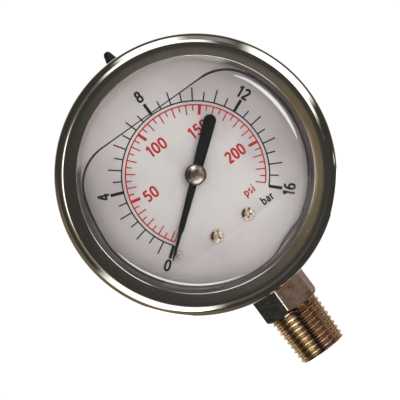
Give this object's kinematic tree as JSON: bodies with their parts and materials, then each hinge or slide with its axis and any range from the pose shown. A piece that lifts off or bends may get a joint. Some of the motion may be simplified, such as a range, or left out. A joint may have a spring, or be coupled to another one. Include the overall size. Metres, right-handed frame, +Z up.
{
  "type": "pressure gauge",
  "caption": "Round liquid-filled dial pressure gauge with a rolled steel bezel, a bottom brass hexagon and tapered pipe thread, and a working Bourdon tube movement.",
  "frame": {"origin": "centre of the end face of the pipe thread", "axes": "+Z up along the thread and the stem to the dial, the dial faces -Y, +X to the reader's right"},
  "size_m": [0.0684, 0.0312, 0.0922],
  "materials": {
    "stainless": "polished",
    "steel": "turned",
    "brass": "machined",
    "bronze": "drawn",
    "spring_bronze": "rolled",
    "nickel_brass": "satin",
    "window": "clear",
    "light_rubber": "matt",
    "black_rubber": "matt",
    "dial_white": "white print base",
    "pointer_black": "satin black"
  },
  "bodies": {
    "case": {"case": "stainless", "bezel_ring": "stainless", "lens": "window", "lens_gasket": "light_rubber", "fill_plug": "black_rubber", "stem_socket": "brass", "stem_gasket": "black_rubber", "case_screws": "steel", "restrictor_screw": "brass", "bourdon_tube": "bronze", "hairspring": "spring_bronze", "hairspring_stud": "brass", "movement_rear_plate": "brass", "movement_front_plate": "brass", "movement_pillars": "brass", "front_plate_screws": "steel", "movement_mount_screw": "steel", "dial_pillars": "brass", "dial_plate": "dial_white", "dial_screws": "nickel_brass", "stop_pin": "nickel_brass"},
    "pointer": {"pinion_arbor": "steel", "hairspring_collet": "brass", "pointer": "pointer_black", "pointer_hub": "nickel_brass"},
    "sector": {"sector_gear": "brass", "sector_arbor": "steel", "sector_link_pin": "steel"},
    "tip": {"tube_tip": "brass", "tip_link_pin": "steel"},
    "link": {"link": "brass"}
  },
  "joints": [
    {"name": "pointer_turn", "type": "hinge", "parent": "case", "child": "pointer", "pos_m": [0, -0.0119, 0.054], "axis": [0, 1, 0], "range_deg": [0, 264], "stiffness_Nm_per_rad": 0.0005, "springref_deg": -6, "deforming": ["hairspring"]},
    {"name": "sector_turn", "type": "hinge", "parent": "case", "child": "sector", "pos_m": [0.01114, -0.0026, 0.04286], "axis": [0, 1, 0], "range_deg": [-33, 0]},
    {"name": "tube_flex", "type": "hinge", "parent": "case", "child": "tip", "pos_m": [-0.0032, 0, 0.06015], "axis": [0, 1, 0], "range_deg": [-5.26, 0], "deforming": ["bourdon_tube"]},
    {"name": "link_swing", "type": "hinge", "parent": "tip", "child": "link", "pos_m": [0.01866, -0.0038, 0.04572], "axis": [0, 1, 0], "range_deg": [0, 3.43]}
  ],
  "couplings": [
    {"joint": "sector_turn", "follows": "pointer_turn", "ratio": -0.125},
    {"joint": "tube_flex", "follows": "pointer_turn", "ratio": -0.019924},
    {"joint": "link_swing", "follows": "pointer_turn", "ratio": 0.012992}
  ]
}
